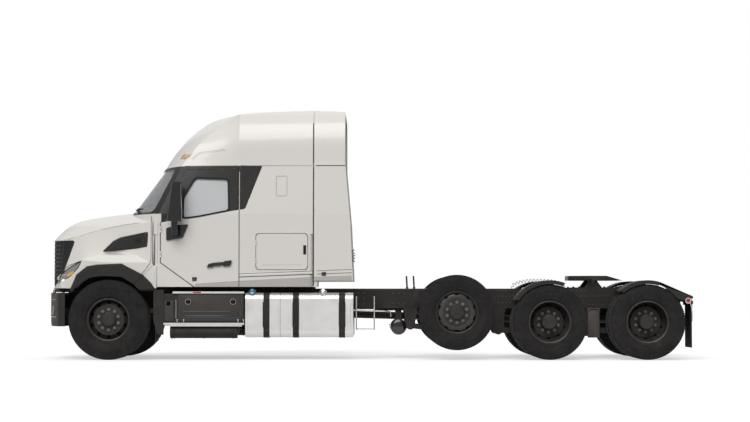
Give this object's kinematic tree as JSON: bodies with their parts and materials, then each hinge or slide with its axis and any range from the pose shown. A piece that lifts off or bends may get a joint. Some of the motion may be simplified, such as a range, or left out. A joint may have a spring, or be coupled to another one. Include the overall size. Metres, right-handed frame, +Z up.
{
  "type": "semi truck tractor",
  "caption": "Conventional long-haul truck tractor with a high-roof sleeper cab, tilting hood, steered front axle, raised lift axle, twin-wheel tandem and a fifth wheel.",
  "frame": {"origin": "on the ground, under the middle of the whole length and width", "axes": "-X is forwards, -Y is the driver's side, +Z is up"},
  "size_m": [9.146, 2.88, 3.531],
  "materials": {
    "cab_paint": "gloss",
    "frame_paint": "satin",
    "wheel_paint": "satin",
    "cast_iron": "rough",
    "engine_paint": "satin",
    "tyre": "matte",
    "glass": "clear",
    "trim": "matte",
    "grille": "gloss",
    "lamp": "clear lens",
    "tank": "brushed",
    "tread": "bright",
    "seat": "woven",
    "dash": "grained",
    "flap": "matte",
    "green_line": "satin",
    "grey_line": "satin"
  },
  "bodies": {
    "chassis": {"frame": "frame_paint", "front_bumper": "trim", "engine": "engine_paint", "driveshafts": "frame_paint", "front_axle": "cast_iron", "drive_axles": "cast_iron", "rear_suspension": "frame_paint", "lift_axle": "cast_iron", "cab_shell": "cab_paint", "windscreen": "glass", "roof_fairing": "cab_paint", "rear_fairings": "cab_paint", "cab_flares": "trim", "seats_and_bunk": "seat", "dashboard": "dash", "fuel_tanks": "tank", "tank_straps": "frame_paint", "side_boxes": "trim", "steps": "tread", "splash_guards": "trim", "air_tanks": "frame_paint", "mudguards": "trim", "mudflaps": "flap", "coupler_base": "frame_paint", "cab_coil": "green_line", "frame_hose": "grey_line"},
    "hood": {"hood_shell": "cab_paint", "hood_grilles": "grille", "headlights": "lamp", "hood_flares": "trim"},
    "left_knuckle_body": {"left_knuckle": "cast_iron"},
    "right_knuckle_body": {"right_knuckle": "cast_iron"},
    "tie_rod_body": {"tie_rod": "cast_iron"},
    "coupler": {"coupler_plate": "cast_iron"},
    "left_door_body": {"left_door": "cab_paint", "left_door_glass": "glass", "left_mirror": "trim"},
    "left_luggage_body": {"left_luggage_door": "cab_paint"},
    "left_front_wheel": {"left_front_rim": "wheel_paint", "left_front_tyre": "tyre"},
    "left_lift_wheel": {"left_lift_rim": "wheel_paint", "left_lift_tyre": "tyre"},
    "left_first_drive_wheel": {"left_first_drive_rims": "wheel_paint", "left_first_drive_tyres": "tyre"},
    "left_second_drive_wheel": {"left_second_drive_rims": "wheel_paint", "left_second_drive_tyres": "tyre"},
    "right_door_body": {"right_door": "cab_paint", "right_door_glass": "glass", "right_mirror": "trim"},
    "right_luggage_body": {"right_luggage_door": "cab_paint"},
    "right_front_wheel": {"right_front_rim": "wheel_paint", "right_front_tyre": "tyre"},
    "right_lift_wheel": {"right_lift_rim": "wheel_paint", "right_lift_tyre": "tyre"},
    "right_first_drive_wheel": {"right_first_drive_rims": "wheel_paint", "right_first_drive_tyres": "tyre"},
    "right_second_drive_wheel": {"right_second_drive_rims": "wheel_paint", "right_second_drive_tyres": "tyre"}
  },
  "joints": [
    {"name": "left_steer", "type": "hinge", "parent": "chassis", "child": "left_knuckle_body", "pos_m": [-3.618, -0.868, 0.562], "axis": [0, 0, 1], "range_deg": [-35, 35]},
    {"name": "left_door_hinge", "type": "hinge", "parent": "chassis", "child": "left_door_body", "pos_m": [-2.885, -1.16, 1.7], "axis": [0, 0, -1], "range_deg": [0, 70]},
    {"name": "left_luggage_hinge", "type": "hinge", "parent": "chassis", "child": "left_luggage_body", "pos_m": [-1.542, -1.223, 1.518], "axis": [0, 0, -1], "range_deg": [0, 95]},
    {"name": "left_front_spin", "type": "hinge", "parent": "left_knuckle_body", "child": "left_front_wheel", "pos_m": [-3.618, -1.018, 0.562], "axis": [0, 1, 0], "continuous": true},
    {"name": "left_lift_spin", "type": "hinge", "parent": "chassis", "child": "left_lift_wheel", "pos_m": [1.268, -1.075, 0.664], "axis": [0, 1, 0], "continuous": true},
    {"name": "left_first_drive_spin", "type": "hinge", "parent": "chassis", "child": "left_first_drive_wheel", "pos_m": [2.571, -0.928, 0.53], "axis": [0, 1, 0], "continuous": true},
    {"name": "left_second_drive_spin", "type": "hinge", "parent": "chassis", "child": "left_second_drive_wheel", "pos_m": [3.941, -0.928, 0.53], "axis": [0, 1, 0], "continuous": true},
    {"name": "right_steer", "type": "hinge", "parent": "chassis", "child": "right_knuckle_body", "pos_m": [-3.618, 0.868, 0.562], "axis": [0, 0, 1], "range_deg": [-35, 35]},
    {"name": "right_door_hinge", "type": "hinge", "parent": "chassis", "child": "right_door_body", "pos_m": [-2.885, 1.16, 1.7], "axis": [0, 0, 1], "range_deg": [0, 70]},
    {"name": "right_luggage_hinge", "type": "hinge", "parent": "chassis", "child": "right_luggage_body", "pos_m": [-1.542, 1.223, 1.518], "axis": [0, 0, 1], "range_deg": [0, 95]},
    {"name": "right_front_spin", "type": "hinge", "parent": "right_knuckle_body", "child": "right_front_wheel", "pos_m": [-3.618, 1.018, 0.562], "axis": [0, 1, 0], "continuous": true},
    {"name": "right_lift_spin", "type": "hinge", "parent": "chassis", "child": "right_lift_wheel", "pos_m": [1.268, 1.075, 0.664], "axis": [0, 1, 0], "continuous": true},
    {"name": "right_first_drive_spin", "type": "hinge", "parent": "chassis", "child": "right_first_drive_wheel", "pos_m": [2.571, 0.928, 0.53], "axis": [0, 1, 0], "continuous": true},
    {"name": "right_second_drive_spin", "type": "hinge", "parent": "chassis", "child": "right_second_drive_wheel", "pos_m": [3.941, 0.928, 0.53], "axis": [0, 1, 0], "continuous": true},
    {"name": "tie_rod_pivot", "type": "hinge", "parent": "left_knuckle_body", "child": "tie_rod_body", "pos_m": [-3.428, -0.868, 0.417], "axis": [0, 0, 1], "range_deg": [-35, 35]},
    {"name": "hood_tilt", "type": "hinge", "parent": "chassis", "child": "hood", "pos_m": [-4.495, 0, 0.96], "axis": [0, -1, 0], "range_deg": [0, 60]},
    {"name": "coupler_tilt", "type": "hinge", "parent": "chassis", "child": "coupler", "pos_m": [3.262, 0, 1.104], "axis": [0, 1, 0], "range_deg": [-10, 15]}
  ],
  "couplings": [
    {"joint": "right_steer", "follows": "left_steer", "ratio": 1},
    {"joint": "tie_rod_pivot", "follows": "left_steer", "ratio": -1}
  ]
}
